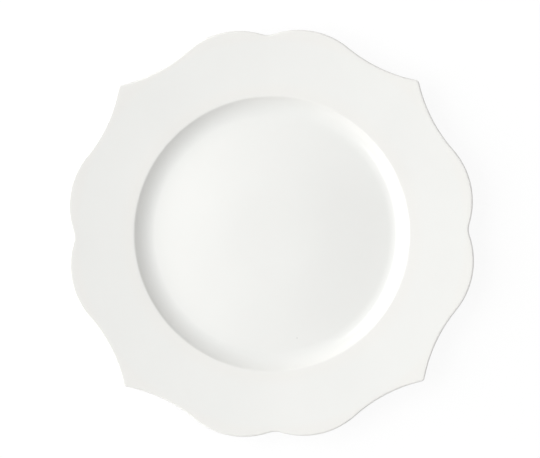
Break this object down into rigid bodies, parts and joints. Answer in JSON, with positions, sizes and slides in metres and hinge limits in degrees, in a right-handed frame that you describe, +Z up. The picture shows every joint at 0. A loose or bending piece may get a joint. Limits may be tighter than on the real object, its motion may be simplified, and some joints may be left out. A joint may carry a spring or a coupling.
{
  "type": "serving platter",
  "caption": "Round white glazed porcelain serving platter with a faintly domed well floor, a coved verge and a broad scalloped rim, standing on a foot ring with a bare bearing edge.",
  "frame": {"origin": "on the platter's axis, in the plane of the foot ring's bearing edge", "axes": "+Z up along the axis, out of the well; notches of the rim on the X and Y axes, points on the diagonals between them"},
  "size_m": [0.3164, 0.3164, 0.0241],
  "materials": {
    "biscuit": "matte",
    "glaze": "gloss"
  },
  "bodies": {
    "root": {"porcelain_body": "biscuit", "glaze_coat": "glaze", "base_glaze": "glaze"}
  },
  "joints": []
}
